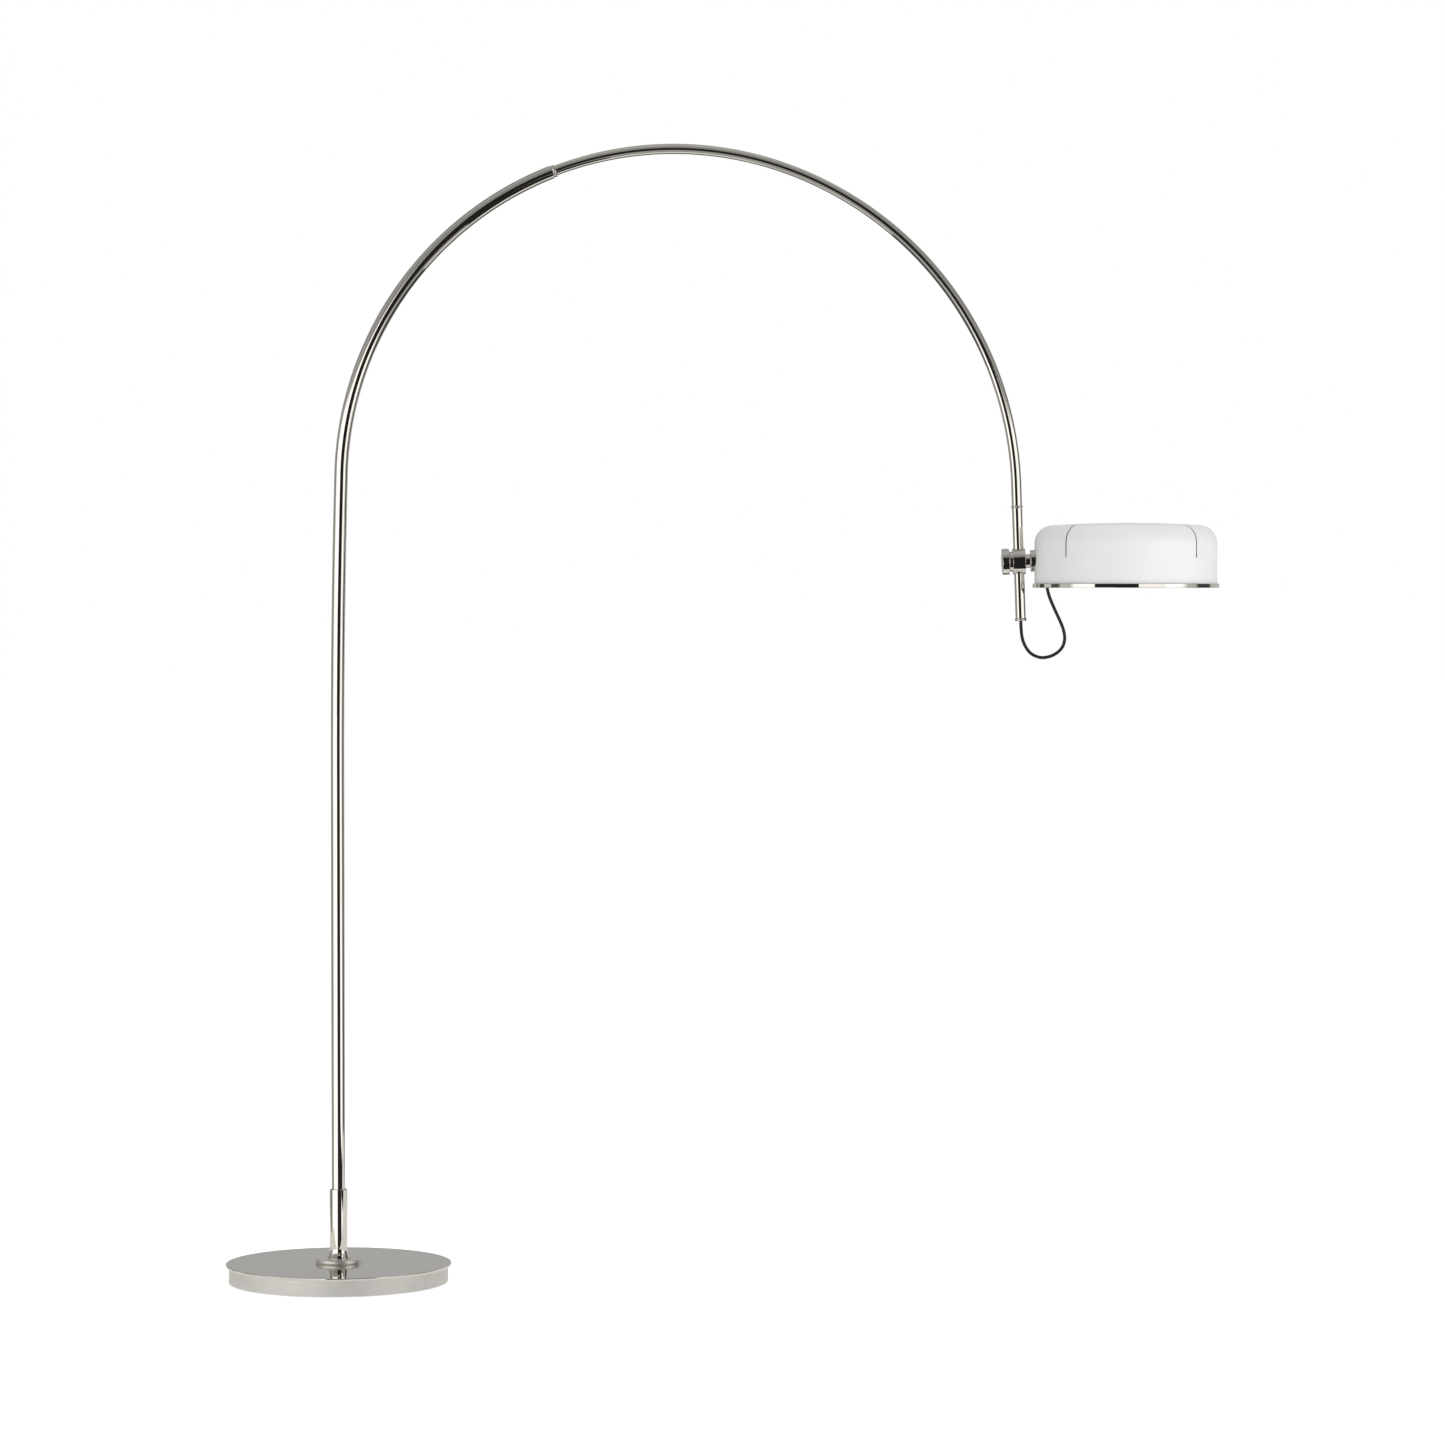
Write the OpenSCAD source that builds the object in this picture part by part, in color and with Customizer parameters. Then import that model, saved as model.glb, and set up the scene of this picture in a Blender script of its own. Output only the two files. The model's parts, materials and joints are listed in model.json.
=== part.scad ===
// Arc floor lamp. A heavy round base carries a tubular mast that bends into an arch. A thinner tube
// telescopes out of the mast along the arch and ends in a short straight tube, on which a clamped head
// slides, swivels and tilts a round shade. Millimetres, +Z up, +X towards the shade.
// The origin is on the floor, on the mast's axis.
// A heading is the direction of a tube's centre line: 0 is straight up, 90 is along +X, 180 is down.

/* [Base] */
// Diameter of the top plate
base_d = 418; // [400:1:440]
// Height of the plate's top above the floor
base_h = 35; // [34:1:40]
// Thickness of the top plate
plate_t = 5; // [4:0.5:6]
// Diameter of the skirt round the weight
skirt_d = 406; // [390:1:408]

/* [Foot] */
// Diameter of the flange on the plate
flange_d = 84; // [70:1:110]
// Thickness of the flange
flange_t = 8; // [5:0.5:10]
// Outer diameter of the sleeve
sleeve_d = 33; // [32:0.5:36]
// Height of the sleeve's mouth above the floor
sleeve_top = 172; // [160:1:220]
// Diameter of the sleeve's flared foot
flare_d = 42; // [40:1:60]
// Height of the flare
flare_h = 19; // [14:1:22]

/* [Mast] */
// Outer diameter of the lower tube
mast_d = 25; // [25:0.5:26]
// Wall thickness of both tubes
tube_wall = 1.5; // [1.2:0.1:1.8]
// Height at which the mast starts to lean
mast_straight_z = 940; // [800:10:1100]
// Radius of the gentle lean
lean_r = 20000; // [18000:500:22000]
// Heading at which the lean turns into the arch
lean = 1.6; // [1.2:0.1:2]

/* [Arch] */
// Bend radius of the lower tube and of the arm's sliding part
arch_r = 615; // [590:1:640]
// Heading at the end of the lower tube
collar_heading = 68.6; // [66:0.1:72]
// Outer diameter of the arm's tube
arm_d = 19; // [18.6:0.1:19]
// Heading at the arm's hidden end
arm_heading = 34; // [33:0.5:38]
// Heading at which the arm's bend opens a little
reach_heading = 109; // [106:0.5:112]
// Bend radius of the arm's outer part
reach_r = 642; // [630:1:650]
// Heading of the straight end tube
end_heading = 178; // [176:0.5:179]
// Length of the straight end tube
end_tube_l = 251; // [240:1:280]

/* [Head] */
// Height of the head's axis on the end tube
head_z = 1336; // [1320:1:1350]
// Diameter of the slider
slider_d = 47.6; // [44:0.2:50]
// Diameter of the clamp knob
knob_d = 48; // [40:1:54]
// Diameter of the boss against the shade's wall
boss_d = 40; // [38:1:44]

/* [Shade] */
// Outer diameter of the shade's wall
shade_d = 336.8; // [336:0.2:338]
// Distance of the shade's axis from the mast's
shade_x = 1458; // [1457:0.5:1459]
// Height of the mouth above the floor
mouth_z = 1287; // [1280:1:1290]
// Height of the wall and its rounded corner
shade_h = 115.4; // [110:0.2:125]
// Radius of the rounded corner
corner_r = 33; // [20:1:36]
// Rise of the domed top
crown_h = 4.4; // [2:0.2:8]
// Sheet thickness
shade_t = 1; // [0.8:0.1:1.5]
// Width of a vent slot
slot_w = 2.5; // [2:0.1:4]
// Outer diameter of the ring round the mouth
ring_d = 344; // [342:1:350]

/* [Cord] */
// Diameter of the cord
cord_d = 6; // [5:0.5:6]

/* [Hidden] */
$fn = 64;
// Facets of a full turn at the arch, fine enough for its long radius
arch_fn = 360;
// The same for the lean
lean_fn = 7200;
// Overshoot of a cut
eps = 1;
// Radial clearance of a running fit
fit = 0.05;

// Base
pad_t = 3;
plate_z = base_h - plate_t;
skirt_t = 1.5;
weight_r = skirt_d / 2 - skirt_t;
recess_r = 24;
recess_z = 24;
cable_z = 9;
channel_w = 14;
screw_pcr = 150;
gland_r = 6;
inlet_r = 3.6;
gland_in_y = skirt_d / 2 - 17;
gland_out_y = skirt_d / 2 + 3;

// Foot
flange_z = base_h + flange_t;
spigot_r = 12;
spigot_z = 13;
wire_bore_r = 7;
sleeve_bore_r = 14.5;
sleeve_floor = flange_z + 4;
thrust_t = 3;
plug_z = sleeve_floor + thrust_t;
mast_z = plug_z + 30;
groove_z = plug_z + 16;
groove_h = 7;
groove_r = 9.5;
groove_land = 8;
bush_l = 20;

// Tubes, as radii
mast_r = mast_d / 2;
mast_bore = mast_r - tube_wall;
arm_r = arm_d / 2;
arm_bore = arm_r - tube_wall;
slide_gap = 0.3;
band_l = 0.5;
band_proud = 0.05;

// Centres of the bends and the top of the end tube, as [x, z]
lean_c = [lean_r, mast_straight_z];
arch_c = lean_c + (arch_r - lean_r) * [cos(lean), -sin(lean)];
reach_c = arch_c + (reach_r - arch_r) * [cos(reach_heading), -sin(reach_heading)];
tube_top = reach_c + reach_r * [-cos(end_heading), sin(end_heading)];
tube_lean = 180 - end_heading;

// Distances down the end tube from its top
head_s = (tube_top[1] - head_z) / cos(tube_lean);
stop_s = 42;
ring_l = 6;
end_ring_s = end_tube_l - 1.25;

// The head, along its own axis from the tube's
slider_x0 = -11.6;
slider_x1 = 11.8;
seat = 1;
neck_r = 18.5;
neck_x = -17.6;
knob_x = -31.1;
pad_r = 5;
pad_x = -13;
stud_r = 4;
shoulder_r = 12.5;
shoulder_x = 20.6;
boss_x = 21.4;
journal_r = 8;
saddle_x = 34;
plate_x = 36;
spring_x = 37.2;
nut_x = 38.8;
shaft_x = 50;
thread_r = 6;
clamp_x0 = 46.2;
clamp_x1 = 60;
clamp_bore_x = 55;
screw_off = 16;
cross_x = 92;
holder_x = 94;
holder_l = 46;
bulb_x = 137;
bulb_r = 30;
bulb_mid = 190;

// Shade
shade_r = shade_d / 2;
shell_z = mouth_z + 2.6;
edge_z = mouth_z + shade_h;
crown_r = shade_r - corner_r;
dome_r = (crown_r * crown_r + crown_h * crown_h) / (2 * crown_h);
slot_z = mouth_z + 55;
slot_r = 120;

// Cable places beside the tubes' centre line
cable_r = 3;
cable_y = 3.4;

// Route of the head's cord as [x, z], from inside its bush, round the loop and up into its clamp
cord_route = [[1264, 1230], [1264.3, 1222], [1264.8, 1211], [1266, 1199], [1268.8, 1187.5],
    [1274, 1176.5], [1281.5, 1167], [1291, 1161], [1302, 1158], [1313.5, 1159], [1324.5, 1162.8],
    [1334.5, 1169.5], [1342, 1179], [1345.2, 1190.5], [1344.6, 1202.5], [1341.4, 1214.5], [1336.6, 1226],
    [1331.5, 1237], [1326.4, 1248], [1321.6, 1259], [1317.2, 1270], [1314, 1281], [1312.6, 1291],
    [1312.7, 1301], [1314.2, 1311], [1315.7, 1321], [1315.6, 1332]];
cord_sides = 10;

steel = [0.62, 0.61, 0.58];
nickel = [0.78, 0.76, 0.72];
satin = [0.68, 0.67, 0.64];
nylon = [0.9, 0.89, 0.85];
black = [0.05, 0.05, 0.05];
white = [0.93, 0.93, 0.92];

// ---------- helpers ----------

// Ring or disc on +Z
module tube_z(ro, ri, z0, z1) {
    difference() {
        translate([0, 0, z0]) cylinder(r = ro, h = z1 - z0);
        if (ri > 0) translate([0, 0, z0 - eps]) cylinder(r = ri, h = z1 - z0 + 2 * eps);
    }
}

// The same along +X, and along +Y
module tube_x(ro, ri, x0, x1) {
    rotate([0, 90, 0]) tube_z(ro, ri, x0, x1);
}

module tube_y(ro, ri, y0, y1) {
    rotate([-90, 0, 0]) tube_z(ro, ri, y0, y1);
}

// A solid of revolution about +X, whose outline is drawn as [radius, x]
module turned_x() {
    rotate([0, 90, 0]) rotate_extrude() children();
}

module hex_z(af, z0, z1) {
    translate([0, 0, z0]) cylinder(d = af / cos(30), h = z1 - z0, $fn = 6);
}

// A bend that starts at the origin along +Z and turns by a towards +X, dy beside its centre line
module bend(r, a, ro, ri = 0, dy = 0, facets = arch_fn) {
    translate([r, 0, 0])
        mirror([1, 0, 0])
            rotate([90, 0, 0])
                rotate_extrude(angle = a, $fn = facets)
                    translate([r, -dy])
                        difference() {
                            circle(r = ro, $fn = 48);
                            if (ri > 0) circle(r = ri, $fn = 48);
                        }
}

// Frame at the end of such a bend
module after_bend(r, a) {
    translate([r * (1 - cos(a)), 0, r * sin(a)]) rotate([0, a, 0]) children();
}

// Band that joins two stretches of a tube into one solid: it overlaps both and stands a hair proud
module join_band(ro, ri = 0, dy = 0) {
    translate([0, dy, 0]) tube_z(ro + band_proud, ri > 0 ? ri - band_proud : 0, -band_l, band_l, $fn = 48);
}

// Part of the arch between two headings
module on_arch_bend(h0, h1, ro, ri = 0, dy = 0) {
    on_arch(h0) bend(arch_r, h1 - h0, ro, ri, dy);
}

// Tube or cable along the mast, from a height to a heading on the arch
module mast_run(z0, h1, ro, ri = 0, dy = 0) {
    translate([0, dy, 0]) tube_z(ro, ri, z0, mast_straight_z, $fn = 48);
    translate([0, 0, mast_straight_z]) {
        join_band(ro, ri, dy);
        bend(lean_r, lean, ro, ri, dy, lean_fn);
        after_bend(lean_r, lean) {
            join_band(ro, ri, dy);
            bend(arch_r, h1 - lean, ro, ri, dy);
        }
    }
}

// Tube or cable along the arm, from a heading on the arch to a distance down the end tube
module arm_run(h0, s1, ro, ri = 0, dy = 0) {
    arch_turn = reach_heading - h0;
    reach_turn = end_heading - reach_heading;
    on_arch(h0) {
        bend(arch_r, arch_turn, ro, ri, dy);
        after_bend(arch_r, arch_turn) {
            join_band(ro, ri, dy);
            bend(reach_r, reach_turn, ro, ri, dy);
            after_bend(reach_r, reach_turn) {
                join_band(ro, ri, dy);
                translate([0, dy, 0]) tube_z(ro, ri, 0, s1, $fn = 48);
            }
        }
    }
}

// Frame on the arch at a heading: +Z along the tube
module on_arch(h) {
    translate([arch_c[0] - arch_r * cos(h), 0, arch_c[1] + arch_r * sin(h)]) rotate([0, h, 0]) children();
}

// Frame on the end tube, s below its top: +Z up the tube, +X towards the shade
module on_tube(s) {
    translate([tube_top[0] + s * sin(tube_lean), 0, tube_top[1] - s * cos(tube_lean)])
        rotate([0, -tube_lean, 0]) children();
}

module on_head() {
    on_tube(head_s) children();
}

module on_shade() {
    translate([shade_x, 0, 0]) children();
}

// Outline of a ring with a half-round edge, as [radius, z]
module bead(ro, z0, z1) {
    edge = (z1 - z0) / 2;
    translate([0, z0]) square([ro - edge, z1 - z0]);
    translate([ro - edge, z0 + edge]) circle(r = edge);
}

// ---------- base ----------

module floor_pad() {
    color(black) tube_z(weight_r - 4, 0, 0, pad_t, $fn = 128);
}

module base_weight() {
    color([0.2, 0.2, 0.2])
        difference() {
            tube_z(weight_r, spigot_r, pad_t, plate_z, $fn = 128);
            tube_z(recess_r, 0, pad_t - eps, recess_z);
            translate([-channel_w / 2, 0, pad_t - eps]) cube([channel_w, weight_r + eps, 13 + eps]);
            for (a = [45:90:315]) rotate([0, 0, a]) translate([screw_pcr, 0, 0]) {
                tube_z(2.8, 0, pad_t - eps, base_h);
                tube_z(5.5, 0, pad_t - eps, 7);
            }
        }
}

module base_skirt() {
    color(satin)
        difference() {
            tube_z(skirt_d / 2, weight_r, 1, plate_z, $fn = 128);
            translate([0, 0, cable_z]) tube_y(gland_r, 0, weight_r - eps, skirt_d / 2 + eps);
        }
}

module base_plate() {
    color(nickel)
        difference() {
            rotate_extrude($fn = 128) translate([0, plate_z]) bead(base_d / 2, 0, plate_t);
            tube_z(spigot_r, 0, plate_z - eps, base_h + eps);
            for (a = [45:90:315]) rotate([0, 0, a]) translate([screw_pcr, 0, 0])
                tube_z(2.5, 0, plate_z - eps, base_h - 1.5);
        }
}

module base_screws() {
    color(steel)
        for (a = [45:90:315]) rotate([0, 0, a]) translate([screw_pcr, 0, 0]) {
            difference() {
                tube_z(4.6, 0, 4, 7);
                translate([0, 0, -eps]) hex_z(3, 0, 5.5 + eps);
            }
            tube_z(2.5, 0, 7, base_h - 2);
        }
}

module foot_flange() {
    color(nickel)
        difference() {
            rotate_extrude($fn = 96) {
                translate([0, base_h]) square([flange_d / 2, flange_t - 1]);
                translate([0, base_h]) square([flange_d / 2 - 1, flange_t]);
                translate([flange_d / 2 - 1, flange_z - 1]) circle(r = 1, $fn = 24);
            }
            tube_z(spigot_r, 0, base_h - eps, flange_z + eps);
        }
}

// The flare is an arc that meets the sleeve's wall without a corner
module foot_sleeve() {
    flare = flare_d / 2 - sleeve_d / 2;
    flare_r = (flare * flare + flare_h * flare_h) / (2 * flare);
    color(nickel)
        difference() {
            union() {
                tube_z(spigot_r, 0, spigot_z, flange_z);
                tube_z(sleeve_d / 2, 0, flange_z + flare_h, sleeve_top);
                rotate_extrude()
                    difference() {
                        translate([0, flange_z]) square([flare_d / 2, flare_h]);
                        translate([sleeve_d / 2 + flare_r, flange_z + flare_h])
                            circle(r = flare_r, $fn = 180);
                    }
            }
            tube_z(wire_bore_r, 0, spigot_z - eps, sleeve_floor + eps);
            tube_z(sleeve_bore_r, 0, sleeve_floor, sleeve_top + eps);
            translate([0, 0, groove_z]) tube_y(2.5, 0, 10, sleeve_d / 2 + eps);
        }
}

module foot_washer() {
    color(steel) tube_z(22, spigot_r, recess_z - 2, recess_z);
}

module foot_nut() {
    color(steel)
        difference() {
            hex_z(36, recess_z - 10, recess_z - 2);
            tube_z(spigot_r, 0, 0, recess_z);
        }
}

module sleeve_bushes() {
    color(nylon)
        for (z = [mast_z - 5, sleeve_top - 3 - bush_l])
            tube_z(sleeve_bore_r, mast_r + fit, z, z + bush_l);
}

module thrust_washer() {
    color(nylon) tube_z(sleeve_bore_r - 0.1, wire_bore_r + 0.5, sleeve_floor, plug_z);
}

module stop_screw() {
    tip_y = groove_r + 0.7;
    color(steel)
        translate([0, 0, groove_z]) {
            tube_y(1.75, 0, tip_y, mast_r + 0.4);
            difference() {
                tube_y(2.5, 0, mast_r + 0.4, sleeve_d / 2 - 0.3);
                rotate([-90, 0, 0]) hex_z(2.5, sleeve_d / 2 - 1.8, sleeve_d / 2);
            }
        }
}

module cable_gland() {
    color(black)
        translate([0, 0, cable_z])
            difference() {
                union() {
                    tube_y(gland_r, 0, gland_in_y, skirt_d / 2);
                    tube_y(gland_r + 2, 0, skirt_d / 2, gland_out_y);
                }
                tube_y(inlet_r, 0, gland_in_y - eps, gland_out_y + eps);
            }
}

module base_cable() {
    elbow_r = 12;
    color(black) {
        translate([0, 0, cable_z]) tube_y(cable_r, 0, elbow_r, gland_in_y);
        translate([0, elbow_r, cable_z + elbow_r])
            rotate([90, 0, 0]) rotate([0, 90, 0]) rotate([0, 0, 180])
                rotate_extrude(angle = 90) translate([elbow_r, 0]) circle(r = cable_r, $fn = 24);
        tube_z(cable_r, 0, cable_z + elbow_r, plug_z + 1);
    }
}

// ---------- mast ----------

module lower_tube() {
    color(nickel) mast_run(mast_z, collar_heading, mast_r, mast_bore);
}

// The groove stops short of a full turn, at a land opposite the stop screw
module foot_plug() {
    color(steel)
        difference() {
            union() {
                tube_z(mast_r, 0, plug_z, mast_z);
                tube_z(mast_bore, 0, mast_z, mast_z + bush_l);
            }
            tube_z(wire_bore_r, 0, plug_z - eps, mast_z + bush_l + eps);
            difference() {
                tube_z(mast_r + eps, groove_r, groove_z - groove_h / 2, groove_z + groove_h / 2);
                translate([0, 0, groove_z - groove_h])
                    linear_extrude(2 * groove_h)
                        polygon([[0, 0], [-20 * sin(groove_land), -20 * cos(groove_land)],
                            [20 * sin(groove_land), -20 * cos(groove_land)]]);
            }
        }
}

module arm_collar() {
    color(nickel)
        difference() {
            on_arch(collar_heading)
                rotate_extrude() {
                    translate([0, -12]) square([mast_bore - 0.1, 12]);
                    square([mast_bore - 0.4, 7]);
                    bead(mast_r - 0.6, 1.5, 1.5 + ring_l);
                }
            on_arch_bend(collar_heading - 4, collar_heading + 4, arm_r + slide_gap);
        }
}

module guide_bush() {
    color(nylon)
        on_arch_bend(collar_heading - 4, collar_heading - 1.4, mast_bore, arm_r + slide_gap);
}

module mast_cable() {
    color(black) mast_run(plug_z + 2, collar_heading - 4, cable_r, 0, -cable_y);
}

// ---------- arm ----------

module upper_tube() {
    color(nickel) arm_run(arm_heading, end_tube_l, arm_r, arm_bore);
}

module slide_bush() {
    color(nylon) on_arch_bend(arm_heading, arm_heading + 2.5, mast_bore - slide_gap, arm_r);
}

module upper_stop_ring() {
    color(nickel)
        on_tube(stop_s)
            difference() {
                rotate_extrude() bead(arm_r + 1.5, -ring_l / 2, ring_l / 2);
                tube_z(arm_r, 0, -ring_l, ring_l);
                tube_y(1, 0, arm_r - eps, arm_r + 2);
            }
}

module ring_screw() {
    color(steel) on_tube(stop_s) tube_y(1, 0, arm_r, arm_r + 1.3);
}

// The ring caps the tube's end: its lip keeps the cord's bush in
module end_ring() {
    color(nickel)
        on_tube(end_ring_s)
            difference() {
                rotate_extrude() bead(arm_r + 1.5, -ring_l / 2, ring_l / 2);
                tube_z(arm_r + fit, 0, end_ring_s - end_tube_l - fit, ring_l);
                tube_z(7.2, 0, -ring_l, ring_l);
            }
}

module arm_cable() {
    color(black) arm_run(arm_heading + 2, end_tube_l - 16, cable_r, 0, cable_y);
}

// ---------- cord swivel ----------

module cord_bush() {
    color(black)
        on_tube(end_tube_l)
            difference() {
                union() {
                    tube_z(arm_bore - fit, 0, fit, 15);
                    tube_z(6.9, 0, -1.75, fit);
                }
                tube_z(cord_d / 2 + 0.2, 0, -3, 16);
            }
}

// A tube swept along the route, with one ring of points at each of its points
function unit(v) = v / norm(v);
function heading_at(p, i) = unit(p[min(i + 1, len(p) - 1)] - p[max(i - 1, 0)]);
function cord_ring(p, i, r) = let (t = heading_at(p, i))
    [for (k = [0:cord_sides - 1]) let (a = 360 * k / cord_sides)
        [p[i][0] + r * cos(a) * t[1], r * sin(a), p[i][1] - r * cos(a) * t[0]]];

module head_cord() {
    last = len(cord_route) - 1;
    n = cord_sides;
    color(black)
        polyhedron(
            points = [for (i = [0:last]) each cord_ring(cord_route, i, cord_d / 2)],
            faces = concat(
                [[for (k = [0:n - 1]) k]],
                [for (i = [0:last - 1]) for (k = [0:n - 1])
                    [i * n + k, (i + 1) * n + k, (i + 1) * n + (k + 1) % n, i * n + (k + 1) % n]],
                [[for (k = [0:n - 1]) last * n + n - 1 - k]]));
}

// ---------- head, on the end tube ----------

module slider_body() {
    r = slider_d / 2;
    color(nickel)
        on_head()
            difference() {
                turned_x() polygon([[0, slider_x0], [r - 1, slider_x0], [r, slider_x0 + 1], [r, slider_x1 - 1],
                    [r - 1, slider_x1], [0, slider_x1]]);
                tube_z(arm_r + fit, 0, -slider_d, slider_d);
                tube_x(neck_r, 0, slider_x0 - eps, slider_x0 + seat);
                tube_x(shoulder_r, 0, slider_x1 - seat, slider_x1 + eps);
                tube_x(pad_r + fit, 0, slider_x0 - eps, 0);
            }
}

module clamp_bushing() {
    color(nickel)
        on_head()
            difference() {
                turned_x() polygon([[0, neck_x], [neck_r - 1.5, neck_x], [neck_r, neck_x + 1.5],
                    [neck_r, slider_x0 + seat], [0, slider_x0 + seat]]);
                tube_x(stud_r + fit, 0, neck_x - eps, 0);
                tube_x(pad_r + fit, 0, pad_x - 1.5, 0);
            }
}

module pivot_shaft() {
    color(nickel)
        on_head() {
            tube_x(shoulder_r, 0, slider_x1 - seat, shoulder_x);
            tube_x(journal_r, 0, shoulder_x, plate_x);
            tube_x(thread_r, 0, plate_x, shaft_x);
        }
}

module friction_washer() {
    color(nylon) on_head() tube_x(shoulder_r, journal_r, shoulder_x, boss_x);
}

module pivot_washer() {
    color(steel) on_head() tube_x(11.5, thread_r, plate_x, spring_x);
}

module disc_spring() {
    t = 0.8;
    color(steel)
        on_head()
            turned_x() polygon([[thread_r, spring_x + t], [11, spring_x], [11, nut_x - t], [thread_r, nut_x]]);
}

module pivot_nut() {
    color(steel)
        on_head()
            difference() {
                rotate([0, 90, 0]) hex_z(19, nut_x, nut_x + 7);
                tube_x(thread_r, 0, nut_x - eps, nut_x + 8);
            }
}

// Block on the shaft's end: the cord's sheath ends in it, and the wires leave it along the tilt axis
module cord_clamp() {
    color(black)
        on_head()
            difference() {
                translate([clamp_x0, -8, -14]) cube([clamp_x1 - clamp_x0, 16, 24]);
                tube_x(thread_r, 0, clamp_x0 - eps, shaft_x);
                translate([clamp_bore_x, 0, 0]) tube_z(cord_d / 2 + 0.6, 0, -15, 1);
                tube_x(2.8, 0, clamp_bore_x, clamp_x1 + eps);
                translate([clamp_x0 + 2, 0, 0]) tube_z(1.5, 0, 5, 11);
            }
}

module cord_clamp_screw() {
    color(steel)
        on_head() translate([clamp_x0 + 2, 0, 0])
            difference() {
                tube_z(1.5, 0, thread_r, 10);
                hex_z(1.5, 9, 11);
            }
}

// ---------- clamp screw ----------

module clamp_pad() {
    color(nylon)
        on_head()
            difference() {
                tube_x(pad_r, 0, pad_x, -5);
                tube_z(arm_r + fit, 0, -10, 10);
            }
}

module clamp_knob() {
    r = knob_d / 2;
    gap = 0.3;
    color(nickel)
        on_head()
            difference() {
                turned_x() polygon([[0, knob_x], [r - 1.5, knob_x], [r, knob_x + 1.5],
                    [r, neck_x - gap - 1], [r - 1, neck_x - gap], [0, neck_x - gap]]);
                tube_x(stud_r, 0, knob_x + 5, neck_x);
            }
}

module clamp_stud() {
    color(steel) on_head() tube_x(stud_r, 0, knob_x + 5, pad_x);
}

// ---------- shade ----------

module shade_boss() {
    color(nickel)
        difference() {
            on_head()
                difference() {
                    turned_x() polygon([[0, boss_x], [boss_d / 2 - 1, boss_x], [boss_d / 2, boss_x + 1],
                        [boss_d / 2, saddle_x], [0, saddle_x]]);
                    tube_x(journal_r + fit, 0, 0, saddle_x + eps);
                    for (z = [-screw_off, screw_off]) translate([0, 0, z]) tube_x(2, 0, boss_x + 2, saddle_x + eps);
                }
            on_shade() tube_z(shade_r + fit, 0, 1200, 1500, $fn = 256);
        }
}

// Solid of the shade's outer form, taken in by t on all sides, as [radius, z]
module shade_outline(t, z0) {
    translate([0, z0]) square([crown_r, edge_z - t - z0]);
    translate([0, z0]) square([shade_r - t, edge_z - corner_r - z0]);
    translate([crown_r, edge_z - corner_r]) circle(r = corner_r - t, $fn = 128);
    intersection() {
        translate([0, edge_z - corner_r]) square([crown_r, 2 * corner_r]);
        translate([0, edge_z + crown_h - dome_r]) circle(r = dome_r - t, $fn = 720);
    }
}

module shade_shell() {
    color(white)
        difference() {
            on_shade()
                difference() {
                    rotate_extrude($fn = 256)
                        difference() {
                            shade_outline(0, shell_z);
                            shade_outline(shade_t, shell_z - eps);
                        }
                    for (a = [45:90:315]) rotate([0, 0, a])
                        translate([slot_r, -slot_w / 2, slot_z]) cube([shade_r, slot_w, 2 * corner_r + 20]);
                }
            on_head() {
                tube_x(journal_r + 0.3, 0, boss_x, saddle_x);
                for (z = [-screw_off, screw_off]) translate([0, 0, z]) tube_x(2.2, 0, boss_x, saddle_x);
            }
        }
}

// The shell's edge stands in the ring's groove
module shade_ring() {
    groove_r0 = shade_r - shade_t - 0.1;
    color(nickel)
        on_shade()
            rotate_extrude($fn = 256)
                difference() {
                    translate([0, mouth_z])
                        polygon([[groove_r0 - 1.5, 0], [ring_d / 2 - 1, 0], [ring_d / 2, 1], [ring_d / 2, 7],
                            [ring_d / 2 - 1, 8], [shade_r, 8], [groove_r0, 6], [groove_r0 - 1.5, 6]]);
                    translate([groove_r0, shell_z]) square([shade_t + 0.1, 10]);
                }
}

module inner_saddle() {
    color(steel)
        intersection() {
            on_head()
                difference() {
                    translate([saddle_x - 6, -19, -20]) cube([6, 38, 40]);
                    tube_x(journal_r + fit, 0, saddle_x - 7, saddle_x + eps);
                    for (z = [-screw_off, screw_off]) translate([0, 0, z])
                        tube_x(2.2, 0, saddle_x - 7, saddle_x + eps);
                }
            on_shade() tube_z(shade_r - shade_t - fit, 0, 1200, 1500, $fn = 256);
        }
}

// A yoke: a plate on the wall, two arms past the shaft's end and a cross plate for the lamp holder
module lamp_bracket() {
    t = 2;
    half = 24;
    arm_h = 9;
    color(white)
        on_head()
            difference() {
                union() {
                    translate([saddle_x, -half, -20]) cube([t, 2 * half, 40]);
                    for (y = [-half, half - t]) translate([saddle_x, y, -arm_h])
                        cube([holder_x - saddle_x, t, 2 * arm_h]);
                    translate([cross_x, -half, -arm_h]) cube([t, 2 * half, 2 * arm_h]);
                }
                tube_x(journal_r + 0.3, 0, saddle_x - eps, plate_x + eps);
                tube_x(5, 0, cross_x - eps, holder_x + eps);
                for (z = [-screw_off, screw_off]) translate([0, 0, z])
                    tube_x(2.2, 0, saddle_x - eps, plate_x + eps);
            }
}

module bracket_screws() {
    color(steel)
        on_head()
            for (z = [-screw_off, screw_off]) translate([0, 0, z]) {
                tube_x(2, 0, boss_x + 2.5, plate_x);
                difference() {
                    tube_x(3.5, 0, plate_x, plate_x + 2.2);
                    rotate([0, 90, 0]) hex_z(2.5, plate_x + 1, plate_x + 3);
                }
            }
}

module nipple() {
    color("goldenrod") on_head() tube_x(5, 3, cross_x - 8, holder_x + 6);
}

module nipple_nut() {
    color("goldenrod")
        on_head()
            difference() {
                rotate([0, 90, 0]) hex_z(14, cross_x - 4, cross_x);
                tube_x(5, 0, cross_x - 5, cross_x + eps);
            }
}

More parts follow.
